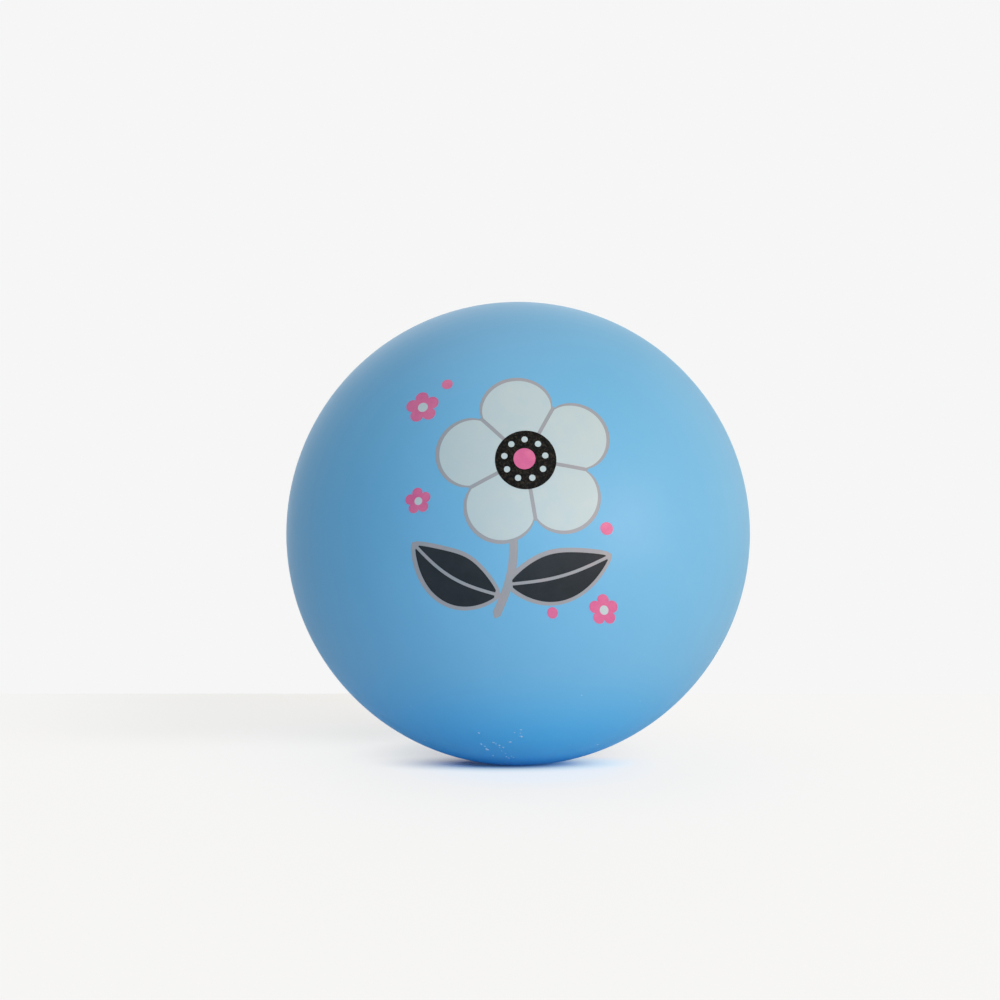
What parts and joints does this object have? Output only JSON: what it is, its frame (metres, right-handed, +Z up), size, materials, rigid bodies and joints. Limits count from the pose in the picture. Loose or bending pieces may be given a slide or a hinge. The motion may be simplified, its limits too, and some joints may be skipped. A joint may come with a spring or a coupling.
{
  "type": "inflatable play ball",
  "caption": "Hollow soft vinyl play ball with a smooth matt skin, and a flush inflation valve whose barbed plug pulls straight out.",
  "frame": {"origin": "centre of the ball", "axes": "+Y along the valve's axis, out of the valve at the back of the ball; -Y is the printed front; +Z up; +X to the right as seen from the front"},
  "size_m": [0.15, 0.1495, 0.15],
  "materials": {
    "skin_vinyl": "matt",
    "seat_vinyl": "satin",
    "plug_plastic": "satin",
    "print_pale": "satin",
    "print_black": "satin",
    "print_grey": "satin",
    "print_pink": "satin"
  },
  "bodies": {
    "ball": {"skin": "skin_vinyl", "valve_seat": "seat_vinyl"},
    "plug": {"valve_plug": "plug_plastic"}
  },
  "joints": [
    {"name": "plug_pull", "type": "slide", "parent": "ball", "child": "plug", "axis": [0, 1, 0], "range_m": [0, 0.018]}
  ]
}
